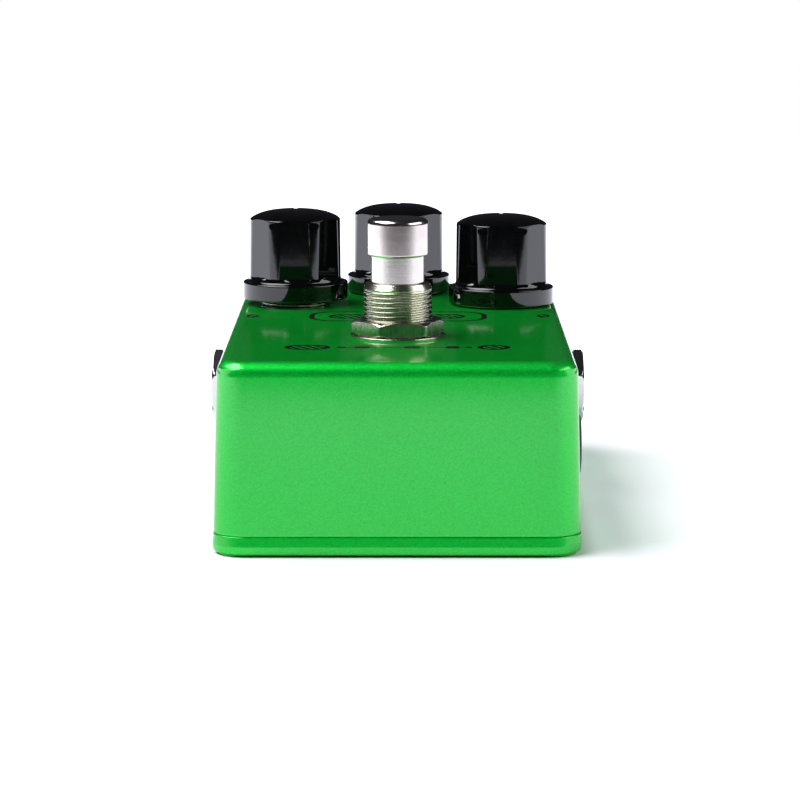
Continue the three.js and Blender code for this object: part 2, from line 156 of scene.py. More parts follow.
def piece_from(name, points, faces, sharp):
    """A mesh object with its place in its mesh, smooth but for edges above `sharp` degrees."""
    mesh = bpy.data.meshes.new(name)
    mesh.from_pydata((np.asarray(points) * MM).tolist(), [], faces)
    mesh.validate()
    shade_smooth(mesh, sharp)
    piece = bpy.data.objects.new(name, mesh)
    bpy.context.scene.collection.objects.link(piece)
    return piece


def revolve(name, profile, centre=(0, 0, 0), columns=96, closed=False, shape=None, sharp=SHARP_ANGLE):
    """Carries a profile of (radius, height) round the Z axis through `centre`.

    The point of row i, column j is (r cos t, r sin t, z) with t = 2 pi j / columns. `shape`, where given,
    takes r, z and t as arrays and returns new r and z.
    """
    radius, height = profile[:, :1], profile[:, 1:2]
    turn = np.arange(columns)[None, :] / columns * TAU
    radius, height, turn = np.broadcast_arrays(radius, height, turn)
    if shape is not None:
        radius, height = shape(radius, height, turn)
    rings = np.stack([radius * np.cos(turn), radius * np.sin(turn), height], axis=-1) + np.array(centre)
    return skin(name, rings, closed, sharp)


def box_rings(half_x, half_y, corner, profile, centre=(0, 0), per_corner=10):
    """Rings of a rounded rectangle drawn in by `inset` at height z, for each (inset, z) of the profile.

    The corner arcs keep their centres while the inset is below the corner radius, and shrink to a small
    radius past that.
    """
    inset, height = profile[:, 0][:, None], profile[:, 1][:, None]
    radius = np.maximum(corner - inset, 0.05)
    quarter = np.linspace(0, math.pi / 2, per_corner)
    turn = np.concatenate([quarter + k * math.pi / 2 for k in range(4)])
    sign_x = np.repeat([1, -1, -1, 1], per_corner)
    sign_y = np.repeat([1, 1, -1, -1], per_corner)
    x = sign_x * np.maximum(half_x - inset - radius, 0) + radius * np.cos(turn)
    y = sign_y * np.maximum(half_y - inset - radius, 0) + radius * np.sin(turn)
    return np.stack([x + centre[0], y + centre[1], np.broadcast_to(height, x.shape)], axis=-1)


def shade_smooth(mesh, sharp):
    """Smooth shading, with edges above `sharp` degrees left sharp."""
    mesh.polygons.foreach_set("use_smooth", np.ones(len(mesh.polygons), bool))
    mesh.set_sharp_from_angle(angle=math.radians(sharp))


def soft_box(name, low, high, corner, edge, steps=3, per_corner=5):
    """A closed box with round corners and edges."""
    low, high = np.array(low, float), np.array(high, float)
    half, middle = (high - low) / 2, (high + low) / 2
    deep = min(half[0], half[1]) - 0.02
    profile = rounded_profile(
        [(deep, low[2], 0), (0, low[2], edge), (0, high[2], edge), (deep, high[2], 0)], steps)
    return skin(name, box_rings(half[0], half[1], corner, profile, middle[:2], per_corner))


def turned_ring(name, inner, outer, low, high, centre, edge=0.15, columns=96):
    """A flat ring with rounded edges."""
    profile = rounded_profile(
        [(inner, (low + high) / 2, 0), (inner, low, edge), (outer, low, edge), (outer, high, edge),
         (inner, high, edge), (inner, (low + high) / 2, 0)], 4, 0.05
    )
    return revolve(name, profile[:-1], centre, columns, closed=True)


def hexagon(across_flats, turn, rounding=0.25):
    """Distance to the side of a hexagon along each direction, flat / cos(angle from the flat's middle).

    Its corners are rounded with a smooth minimum against a circle just inside them.
    """
    flat = across_flats / 2
    away = (turn + math.pi / 6) % (math.pi / 3) - math.pi / 6
    return smooth_min(flat / np.cos(away), flat / math.cos(math.pi / 6) - 0.04, rounding)


def smooth_min(a, b, blend):
    """The lower of two values, with the kink between them rounded over `blend`."""
    overlap = np.maximum(blend - np.abs(a - b), 0) / blend
    return np.minimum(a, b) - overlap**2 * blend / 4


def hex_nut(name, across_flats, hole, low, high, centre, twist=0.0, both=True, columns=240):
    """A hexagonal nut whose corners are cut by a 30 degree cone at the top and, if `both`, at the bottom.

    The side's height falls by (distance to the hexagon - flat radius) x tan 30 towards each corner.
    """
    thick = high - low
    crown = across_flats / 2 * 1.03
    turn = (np.arange(columns) / columns * TAU)[None, :]
    side = hexagon(across_flats, turn - twist)
    fall = np.maximum(side - crown, 0) * math.tan(math.radians(30))
    bottom = fall if both else np.full_like(fall, 0.06)
    bevel, support, lead_in = 0.07, 0.12, 0.35
    top = thick - fall
    crown_edge = np.minimum(crown, side - support)
    rows = [
        (hole, thick * 0.5), (hole, lead_in), (hole + lead_in, 0.0), (side - 0.4, 0.0), (crown_edge, 0.0),
        (side - bevel, bottom - bevel * 0.3), (side - bevel * 0.3, bottom + bevel * 0.3),
        (side, bottom + bevel), (side, bottom + bevel + support),
        (side, top - bevel - support), (side, top - bevel),
        (side - bevel * 0.3, top - bevel * 0.3), (side - bevel, top + bevel * 0.3),
        (crown_edge, thick), (side - 0.4, thick), (hole + lead_in, thick), (hole, thick - lead_in),
    ]
    radius = np.vstack([np.broadcast_to(r, turn.shape) for r, _ in rows])
    height = np.vstack([np.broadcast_to(np.clip(z, 0, thick), turn.shape) for _, z in rows]) + low
    rings = np.stack([radius * np.cos(turn), radius * np.sin(turn), height], axis=-1) + np.array(centre)
    return skin(name, rings, closed=True)


def point_along_x(piece, side, centre):
    """Turns a piece made along +Z so that it points along +X (side 1) or -X (side -1), then places it.

    (x, y, z) goes to (side z, y, -side x), which is a turn and no mirror.
    """
    mesh = piece.data
    flat = np.empty(len(mesh.vertices) * 3)
    mesh.vertices.foreach_get("co", flat)
    x, y, z = flat.reshape(-1, 3).T
    moved = np.stack([side * z, y, -side * x], axis=-1) + np.array(centre) * MM
    mesh.vertices.foreach_set("co", moved.ravel())
    mesh.update()
    return piece


def carve(piece, joins=(), cuts=()):
    """Joins and cuts a piece with others by exact booleans, applies the result and removes the tools.

    Points closer than MERGE_DISTANCE are merged afterwards, and any sliver left open by that is filled.
    """
    for tool, operation in [(t, "UNION") for t in joins] + [(t, "DIFFERENCE") for t in cuts]:
        modifier = piece.modifiers.new("carve", "BOOLEAN")
        modifier.operation, modifier.solver, modifier.object = operation, "EXACT", tool
    bpy.context.view_layer.update()
    evaluated = piece.evaluated_get(bpy.context.evaluated_depsgraph_get())
    mesh = bpy.data.meshes.new_from_object(evaluated)
    old = piece.data
    piece.modifiers.clear()
    piece.data = mesh
    mesh.name = piece.name
    cleaned = bmesh.new()
    cleaned.from_mesh(mesh)
    bmesh.ops.remove_doubles(cleaned, verts=cleaned.verts, dist=MERGE_DISTANCE)
    open_edges = [edge for edge in cleaned.edges if len(edge.link_faces) == 1]
    bmesh.ops.holes_fill(cleaned, edges=open_edges, sides=0)
    cleaned.to_mesh(mesh)
    cleaned.free()
    shade_smooth(mesh, SHARP_ANGLE)
    bpy.data.meshes.remove(old)
    for tool in (*joins, *cuts):
        bpy.data.objects.remove(tool)
    return piece


def drill(radius, low, high, x, y, columns=64):
    """A plain rod along Z, used to cut a hole or to add a post."""
    profile = np.array([(0, low), (radius, low), (radius, high), (0, high)], float)
    return revolve("drill", profile, (x, y, 0), columns)


# ---------------------------------------------------------------------------------------------
# Shader maths
# ---------------------------------------------------------------------------------------------


class Value:
    """A socket's value. Arithmetic on it adds Math nodes, in either order."""

    def __init__(self, shader, socket):
        self.shader, self.socket = shader, socket

    def math(self, operation, *others):
        return self.shader.node("ShaderNodeMath", {"operation": operation}, dict(enumerate(others)))

    def __add__(self, other):
        return self.math("ADD", self, other)

    __radd__ = __add__

    def __sub__(self, other):
        return self.math("SUBTRACT", self, other)

    def __rsub__(self, other):
        return self.math("SUBTRACT", other, self)

    def __mul__(self, other):
        return self.math("MULTIPLY", self, other)

    __rmul__ = __mul__

    def __truediv__(self, other):
        return self.math("DIVIDE", self, other)

    def __pow__(self, other):
        return self.math("POWER", self, other)

    def __abs__(self):
        return self.math("ABSOLUTE", self)

    def least(self, other):
        return self.math("MINIMUM", self, other)

    def most(self, other):
        return self.math("MAXIMUM", self, other)

    def step(self, low, high):
        """0 below `low`, 1 above `high` and a smooth rise between them; low may be the higher one."""
        limits = {"Value": self, "From Min": low, "From Max": high}
        return self.shader.node("ShaderNodeMapRange", {"interpolation_type": "SMOOTHSTEP"}, limits)


class Shader:
    """One material's node tree around a Principled shader."""

    def __init__(self, name, **constants):
        self.material = bpy.data.materials.new(name)
        self.material.use_nodes = True
        self.tree = self.material.node_tree
        self.surface = self.tree.nodes["Principled BSDF"]
        for socket, value in constants.items():
            self.surface.inputs[socket.replace("_", " ")].default_value = value
        self.place = self.node("ShaderNodeTexCoord", out="Object")

    def node(self, kind, settings=None, inputs=None, out=0):
        """Adds a node, gives it its settings, then its sockets' values or links."""
        made = self.tree.nodes.new(kind)
        for key, value in (settings or {}).items():
            setattr(made, key, value)
        for key, value in (inputs or {}).items():
            self.feed(made.inputs[key], value)
        return Value(self, made.outputs[out])

    def feed(self, socket, value):
        if isinstance(value, Value):
            self.tree.links.new(value.socket, socket)
        elif isinstance(value, (tuple, list)) and len(value) == 3 and socket.type == "RGBA":
            socket.default_value = (*value, 1)
        else:
            socket.default_value = value

    def set(self, **sockets):
        """Feeds sockets of the Principled shader; an underscore stands for a space."""
        for name, value in sockets.items():
            self.feed(self.surface.inputs[name.replace("_", " ")], value)
        return self

    def mapped(self, centre=(0, 0, 0), scale=(1, 1, 1)):
        """Object coordinates in millimetres from `centre` (mm), then scaled."""
        moved = self.node("ShaderNodeVectorMath", {"operation": "MULTIPLY_ADD"}, {
            0: self.place, 1: (1 / MM,) * 3, 2: tuple(-c for c in centre)})
        return self.node("ShaderNodeVectorMath", {"operation": "MULTIPLY"}, {0: moved, 1: scale})

    def axes(self, vector):
        """The three parts of a vector as values."""
        split = self.tree.nodes.new("ShaderNodeSeparateXYZ")
        self.tree.links.new(vector.socket, split.inputs[0])
        return [Value(self, s) for s in split.outputs]

    def noise(self, vector, scale, detail=3.0, roughness=0.5):
        inputs = {"Vector": vector, "Scale": scale, "Detail": detail, "Roughness": roughness}
        return self.node("ShaderNodeTexNoise", None, inputs, "Fac")

    def cells(self, vector, scale, out="Distance"):
        return self.node("ShaderNodeTexVoronoi", None, {"Vector": vector, "Scale": scale}, out)

    def mix(self, share, first, second):
        """A colour between two colours."""
        inputs = {"Factor": share, 6: first, 7: second}
        return self.node("ShaderNodeMix", {"data_type": "RGBA"}, inputs, 2)

    def bump(self, height, distance, strength=1.0, below=None):
        inputs = {"Height": height, "Distance": distance * MM, "Strength": strength}
        if below is not None:
            inputs["Normal"] = below
        return self.node("ShaderNodeBump", None, inputs)


# ---------------------------------------------------------------------------------------------
# Settings
# ---------------------------------------------------------------------------------------------


class PedalCasing(bpy.types.PropertyGroup):
    """Sizes and colour of the cast casing."""

    corner: FloatProperty(name="Corner radius", description="Radius of upright corners, in mm", default=5.5)
    edge: FloatProperty(name="Edge radius", description="Radius of the panel's edge, in mm", default=2.3)
    wall: FloatProperty(name="Wall", description="Thickness of the casting, in mm", default=2.2)
    draft: FloatProperty(name="Draft", description="Lean of the sides over their height, in mm", default=0.75)
    enamel: FloatVectorProperty(
        name="Enamel", description="Colour of the metallic enamel", subtype="COLOR", size=3,
        default=(0.004, 0.56, 0.045), min=0, max=1)
    ink: FloatVectorProperty(
        name="Ink", description="Colour of the panel's print", subtype="COLOR", size=3,
        default=(0.004, 0.008, 0.006), min=0, max=1)


class PedalKnob(bpy.types.PropertyGroup):
    """Sizes of the moulded knobs, in millimetres above their underside."""

    skirt: FloatProperty(name="Skirt radius", description="Radius of the skirt, in mm", default=9.6)
    skirt_height: FloatProperty(name="Skirt height", description="Height of the skirt, in mm", default=3.1)
    foot: FloatProperty(name="Body radius", description="Radius of the body at its foot, in mm", default=8.45)
    brim: FloatProperty(name="Brim radius", description="Radius of the body at its brim, in mm", default=8.3)
    brim_height: FloatProperty(name="Brim height", description="Height of the brim, in mm", default=14.7)
    dome: FloatProperty(name="Dome", description="Rise of the crown above the brim, in mm", default=1.6)
    flutes: IntProperty(name="Flats", description="Shallow flats round the body", default=7, min=3)
    flute: FloatProperty(name="Flat distance", description="From a flat to the axis, in mm", default=7.9)


class PedalStage(bpy.types.PropertyGroup):
    """Camera and lamps."""

    eye: FloatVectorProperty(
        name="Camera", description="Place of the camera", subtype="TRANSLATION", unit="LENGTH", size=3,
        default=(0.00145, -0.5955, 0.1110))
    pitch: FloatProperty(
        name="Pitch", description="Angle below the horizon", subtype="ANGLE", default=math.radians(8.93))
    yaw: FloatProperty(
        name="Yaw", description="Turn to the left", subtype="ANGLE", default=math.radians(0.106))
    lens: FloatProperty(name="Lens", description="Focal length, in mm", default=152.06)


# ---------------------------------------------------------------------------------------------
# Finishes
# ---------------------------------------------------------------------------------------------


def finish(name, builder, *arguments):
    """The named material, made once by its builder."""
    made = bpy.data.materials.get(name)
    return made or builder(name, *arguments)


def box_distance(x, y, half_x, half_y, radius):
    """Signed distance to a rounded rectangle about 0, below 0 inside it."""
    dx = (abs(x) - (half_x - radius)).most(0.0)
    dy = (abs(y) - (half_y - radius)).most(0.0)
    return (dx * dx + dy * dy) ** 0.5 - radius


# The panel's print, in millimetres: where its two rows lie along Y, then (middle, half length) of each
# capsule and (middle, half length, half height) of each of the scale's marks along X.
WINDOW_ROW, SLIDER_ROW = 3.6, -36.0
SLIDER_MARKS = ((-9.4, 0.8, 0.8), (-5.9, 1.3, 1.4), (2.4, 1.4, 1.4), (9.2, 1.1, 1.4), (11.9, 0.6, 0.8))
SLIDER_ENDS = ((-15.1, 3.9), (16.1, 2.8))
WINDOW_CAPSULES = ((-8.6, 3.9), (7.6, 4.4))


def striped_capsule(x, y, half_x, half_y, line):
    """Signed distance to a capsule's outline with slanting hatching inside it."""
    edge = box_distance(x, y, half_x, half_y, half_y - 0.1)
    slant = (x + y * 0.6) * 0.62
    hatch = (abs(slant.math("FRACT", slant) - 0.5) - 0.27) * 1.4
    return (abs(edge + line) - line).least(edge.most(hatch))


def print_mask(shader):
    """1 where the top face carries ink: hatched capsules in a frame, and a slider scale."""
    x, y, z = shader.axes(shader.mapped())
    window, slider = y - WINDOW_ROW, y - SLIDER_ROW
    ink = abs(box_distance(x, window, 15.4, 6.2, 4.6)) - 0.5
    for centre, half in WINDOW_CAPSULES:
        ink = ink.least(striped_capsule(x - centre, window, half, 3.1, 0.4))
    for centre, half in SLIDER_ENDS:
        ink = ink.least(striped_capsule(x - centre, slider, half, 2.9, 0.5))
    ink = ink.least(box_distance(x - 1.2, slider, 10.7, 0.3, 0.2))
    for centre, half, tall in SLIDER_MARKS:
        ink = ink.least(box_distance(x - centre, slider, half, tall, 0.5))
    socket_mark = striped_capsule(abs(x) - 26.0, y - 4.2, 1.2, 2.6, 0.25)
    soft = 0.06
    return ink.least(socket_mark).step(soft, -soft) * z.step(31.4, 31.7)


def enamel(name, printed):
    """Metallic flake enamel under a clear coat, with a faint orange peel, dust nibs and, if asked, ink."""
    casing = bpy.context.scene.pedal_casing
    s = Shader(name, Coat_Weight=0.9, Coat_Roughness=0.09, Coat_IOR=1.5, Specular_Tint=(0.06, 0.42, 0.1, 1))
    place = s.mapped()
    flake = s.cells(place, 5.5, out="Color")
    sparkle = s.node("ShaderNodeSeparateColor", None, {0: flake}, 0)
    cloud = s.noise(place, 0.05, 3.0)
    light = tuple(min(1, c * 1.16) for c in casing.enamel)
    deep = tuple(c * 0.84 for c in casing.enamel)
    pits = s.cells(place, 0.45).step(0.1, 0.06) * s.noise(place, 0.07, 1.0).step(0.6, 0.66)
    colour = s.mix(pits * 0.35, s.mix(sparkle * 0.75 + cloud * 0.25, deep, light), (0.0, 0.03, 0.005))
    rough, metal = 0.38 + sparkle * 0.1, 0.72
    if printed:
        ink = print_mask(s)
        colour = s.mix(ink, colour, tuple(casing.ink))
        rough = rough * (1 - ink) + ink * 0.45
        metal = (1 - ink) * metal
    peel = s.noise(place, 0.55, 2.0)
    nibs = s.cells(place, 0.11).step(0.045, 0.0) * s.noise(place, 0.03, 1.0).step(0.5, 0.62)
    surface = s.bump(sparkle, 0.006, 0.5, s.bump(peel + nibs * 2.0, 0.012, 0.7))
    s.set(Base_Color=colour, Roughness=rough, Metallic=metal, Normal=surface)
    return s.material


def gloss_moulding(name):
    """Polished black thermoset: faint mould ripple and handling haze."""
    s = Shader(name, IOR=1.53)
    place = s.mapped()
    haze = s.noise(place, 0.35, 4.0)
    scuffs = s.noise(s.mapped(scale=(1, 1, 0.12)), 3.0, 5.0)
    s.set(
        Base_Color=s.mix(haze, (0.001, 0.001, 0.0012), (0.003, 0.003, 0.0034)),
        Roughness=0.03 + haze * 0.04 + scuffs.step(0.62, 0.75) * 0.05,
        Normal=s.bump(s.noise(place, 0.6, 2.0), 0.004, 0.5),
    )
    return s.material


def satin_moulding(name, colour):
    """Satin moulded plastic with a fine spark-eroded grain."""
    s = Shader(name, IOR=1.5)
    place = s.mapped()
    grain = s.noise(place, 9.0, 4.0)
    patch = s.noise(place, 0.4, 3.0)
    pale = tuple(c * 1.5 + 0.004 for c in colour)
    s.set(
        Base_Color=s.mix(patch, colour, pale), Roughness=0.42 + patch * 0.16,
        Normal=s.bump(grain, 0.02, 0.6),
    )
    return s.material


def plated(name, colour, rough, centre=(0, 0, 0), lines=(0.2, 0.2, 14.0), depth=0.004, stain=0.3):
    """Plated metal: fine tool lines across `lines`, and uneven tone where it was handled."""
    s = Shader(name, Metallic=1.0)
    tool = s.noise(s.mapped(centre, lines), 1.6, 5.0, 0.6)
    patch = s.noise(s.mapped(centre), 0.5, 4.0)
    dark = tuple(c * (1 - stain) for c in colour)
    s.set(
        Base_Color=s.mix((tool * 0.5 + patch * 0.5).step(0.3, 0.75), dark, colour),
        Roughness=rough * 0.8 + patch * rough * 0.4,
        Normal=s.bump(tool, depth, 0.8),
    )
    return s.material


def turned_metal(name, colour, rough, centre, depth=0.004, stain=0.25):
    """Plated metal with circular tool lines: noise read along the distance from the axis and the height."""
    s = Shader(name, Metallic=1.0)
    x, y, z = s.axes(s.mapped(centre))
    reach = (x * x + y * y) ** 0.5
    rings = s.node("ShaderNodeCombineXYZ", None, {0: reach, 1: z, 2: x * 0.02})
    tool = s.noise(rings, 9.0, 5.0, 0.6)
    patch = s.noise(s.mapped(centre), 0.45, 4.0)
    speck = s.noise(s.mapped(centre), 3.2, 3.0, 0.7)
    dark = tuple(c * (1 - stain) for c in colour)
    s.set(
        Base_Color=s.mix((tool * 0.3 + patch * 0.3 + speck * 0.4).step(0.38, 0.62), dark, colour),
        Roughness=rough * 0.75 + tool * rough * 0.3 + speck * rough * 0.3,
        Normal=s.bump(tool * 0.6 + speck * 0.4, depth, 0.8),
    )
    return s.material


def solder_mask(name):
    """Green circuit board with copper tracks showing through the mask, and pale pads."""
    s = Shader(name, Coat_Weight=0.5, Coat_Roughness=0.15)
    place = s.mapped()
    x, y, _ = s.axes(place)
    tracks = s.node("ShaderNodeTexBrick", {"offset": 0.5}, {
        "Vector": place, "Scale": 0.3, "Mortar Size": 0.035, "Color1": (0, 0, 0), "Color2": (0, 0, 0),
        "Mortar": (1, 1, 1)}, "Fac")
    pitch = 2.54
    gap_x, gap_y = (abs(a.math("ROUND", a) - a) * pitch for a in (x / pitch, y / pitch))
    pads = ((gap_x * gap_x + gap_y * gap_y) ** 0.5).step(0.62, 0.56)
    some = s.noise(place, 0.09, 1.0).step(0.5, 0.52)
    mask = s.mix(tracks, (0.008, 0.09, 0.035), (0.02, 0.2, 0.07))
    s.set(
        Base_Color=s.mix(pads * some, mask, (0.62, 0.62, 0.6)), Roughness=0.35 - pads * some * 0.1,
        Metallic=pads * some, Normal=s.bump(tracks + pads * some, 0.03, 0.6),
    )
    return s.material


def pressed_sheet(name):
    """Brown phenolic sheet with a paper fibre grain."""
    s = Shader(name)
    fibre = s.noise(s.mapped(scale=(0.3, 2.0, 2.0)), 1.5, 5.0, 0.65)
    s.set(Base_Color=s.mix(fibre, (0.13, 0.055, 0.02), (0.3, 0.15, 0.06)), Roughness=0.5 + fibre * 0.15,
          Normal=s.bump(fibre, 0.02, 0.6))
    return s.material


def lamp_lens(name):
    """Water clear lamp body: faintly cloudy, with a cool tint."""
    s = Shader(name, Transmission_Weight=0.85, IOR=1.49, Coat_Weight=0.3)
    cloud = s.noise(s.mapped(), 0.8, 3.0)
    s.set(Base_Color=s.mix(cloud, (0.75, 0.78, 0.8), (0.92, 0.93, 0.93)), Roughness=0.06 + cloud * 0.08)
    return s.material


def wrapped_can(name, colour, band):
    """A printed or shrunk sleeve: a coloured jacket with a lighter band and a fine crinkle."""
    s = Shader(name, Coat_Weight=0.4, Coat_Roughness=0.2)
    place = s.mapped()
    x, _, _ = s.axes(place)
    crinkle = s.noise(place, 0.9, 4.0)
    stripe = abs((x / 24).math("FRACT", x / 24) - 0.5).step(0.13, 0.11)
    s.set(Base_Color=s.mix(stripe, colour, band), Roughness=0.3 + crinkle * 0.15,
          Normal=s.bump(crinkle, 0.03, 0.5))
    return s.material


def ribbed_lead(name):
    """Grey flat lead: ten round conductors side by side, 1 mm apart."""
    s = Shader(name)
    x, _, _ = s.axes(s.mapped())
    rib = abs(x.math("FRACT", x) - 0.5) * 2
    edge = x.step(-4.2, -4.0)
    s.set(Base_Color=s.mix(edge, (0.4, 0.03, 0.03), (0.3, 0.31, 0.32)), Roughness=0.5 + rib * 0.1,
          Normal=s.bump((1 - rib * rib) ** 0.5, 0.3))
    return s.material


def indicator_paint(name):
    """White filler in the knob's indicator line, slightly uneven."""
    s = Shader(name)
    patch = s.noise(s.mapped(), 2.5, 4.0)
    s.set(Base_Color=s.mix(patch, (0.62, 0.61, 0.58), (0.85, 0.84, 0.82)), Roughness=0.45 + patch * 0.2,
          Normal=s.bump(patch, 0.02, 0.5))
    return s.material


# ---------------------------------------------------------------------------------------------
# Operators
# ---------------------------------------------------------------------------------------------


def settle(piece, material, body, slot, *nodes):
    """Gives a piece its material and body, and lets it stand for CAD nodes. `slot` is not used."""
    piece.data.materials.clear()
    piece.data.materials.append(material)
    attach(piece, body)
    if nodes:
        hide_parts(*nodes)
    return piece


def coat(node, material):
    """Puts a better material on a CAD node that keeps its shape."""
    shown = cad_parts[node]
    shown.data.materials.clear()
    shown.data.materials.append(material)


class PEDAL_OT_casing(bpy.types.Operator):
    """Cast casing with its draft, round edges, posts and holes"""

    bl_idname = "pedal.casing"
    bl_label = "Casing"

    def execute(self, context):
        size = context.scene.pedal_casing
        low, high = node_box("enclosure")
        half_x, half_y = (high[0] - low[0]) / 2, (high[1] - low[1]) / 2
        split, top = low[2], high[2]
        deep = half_x - 0.02
        wall, ceiling = size.wall, top - size.wall
        corners = [
            (deep, ceiling, 0), (wall + size.draft, ceiling, 1.0), (wall, split, 0.15), (0, split, 0.28),
            (size.draft, top, size.edge), (deep, top, 0),
        ]
        profile = rounded_profile(corners, 8, 0.2)
        shell = skin("casing_shell", box_rings(half_x, half_y, size.corner, profile, per_corner=14))
        places = [node_centre(screw)[:2] for screw in COVER_SCREWS]
        posts = [drill(3.6, split, ceiling + 1, x, y, 32) for x, y in places]
        cuts = [drill(1.6, split - 1, split + 15, x, y, 24) for x, y in places]
        cuts += [drill(3.8, ceiling - 1, top + 1, *node_centre(f"pot_shaft_{s}")[:2]) for s in KNOB_SIDES]
        cuts.append(drill(6.2, ceiling - 1, top + 1, *node_centre("footswitch_bush")[:2]))
        cuts.append(drill(2.95, ceiling - 1, top + 1, *node_centre("led_lens")[:2]))
        for side, node in ((1, "jack_nut_right"), (-1, "jack_nut_left"), (1, "power_jack_body")):
            _, y, z = node_centre(node)
            cuts.append(point_along_x(drill(4.9, 24, 36, 0, 0), side, (0, y, z)))
        carve(shell, posts, cuts)
        settle(shell, finish("enamel_printed", enamel, True), "housing", "green_enamel", "enclosure")
        return {"FINISHED"}


class PEDAL_OT_cover(bpy.types.Operator):
    """Bottom cover with its corner pads and screws"""

    bl_idname = "pedal.cover"
    bl_label = "Bottom cover"

    def execute(self, context):
        size = context.scene.pedal_casing
        low, high = node_box("bottom_cover")
        half_x, half_y = (high[0] - low[0]) / 2, (high[1] - low[1]) / 2
        underside = 0.28
        deep = half_x - 0.02
        profile = rounded_profile([(deep, underside, 0), (0.12, underside, 0.75), (0, 1.7, 1.2),
                                   (0.19, high[2], 0.2), (deep, high[2], 0)], 8, 0.1)
        plate = skin("cover_plate", box_rings(half_x, half_y, size.corner + 0.1, profile, per_corner=14))
        pads, cuts = [], []
        outline = rounded_profile([(0, 0, 0), (3.95, 0, 0.35), (4.05, 1.6, 0), (0, 1.6, 0)], 5, 0.08)
        for screw in COVER_SCREWS:
            x, y, _ = node_centre(screw)
            pads.append(revolve("pad", outline, (x, y, 0), 72))
            cuts.append(drill(3.0, -1, 2.0, x, y, 48))
            cuts.append(drill(1.55, 1, 6, x, y, 24))
        carve(plate, pads, cuts)
        settle(plate, finish("enamel_plain", enamel, False), "housing", "green_enamel", "bottom_cover")
        steel = finish("zinc_plate", plated, (0.62, 0.63, 0.66), 0.3)
        for node in COVER_SCREWS:
            x, y, _ = node_centre(node)
            screw = self.screw(node.removeprefix("cover_"), x, y)
            settle(screw, steel, "housing", "zinc_steel", node)
        return {"FINISHED"}

    def screw(self, name, x, y):
        """A pan head with a cross recess on a threaded shank, cut by a saw of `pitch` along the height."""
        radius, pitch, first, last = 1.25, 0.7, 2.7, 12.4
        head = rounded_profile([(0, 0.3, 0), (2.3, 0.3, 0.7), (2.7, 1.3, 0.3), (2.7, 2.0, 0.1),
                                (radius, 2.0, 0.1), (radius, 2.6, 0)], 5, 0.05)
        shank = np.stack([np.full(100, radius), np.linspace(first, last, 100)], axis=-1)
        tip = np.array([(0.7, 13.0), (0, 13.0)])

        def thread(r, z, t):
            wave = np.abs(((z / pitch + t / TAU) % 1) - 0.5) * 2
            on_shank = (z > first - 0.05) & (z < last + 0.05)
            return r - np.where(on_shank, 0.3 * wave, 0), z

        made = revolve(name, np.vstack([head, shank, tip]), (x, y, 0), 32, shape=thread)
        slots = [soft_box("slot", (x - a, y - b, -0.2), (x + a, y + b, 1.3), 0.12, 0.05, 2, 3)
                 for a, b in ((1.6, 0.3), (0.3, 1.6))]
        return carve(made, (), slots)


def crown_height(size, reach):
    """A knob's height at a distance from its axis: brim + dome x (1 - (distance / brim radius)^3.3)."""
    return size.brim_height + size.dome * (1 - (reach / size.brim) ** 3.3)


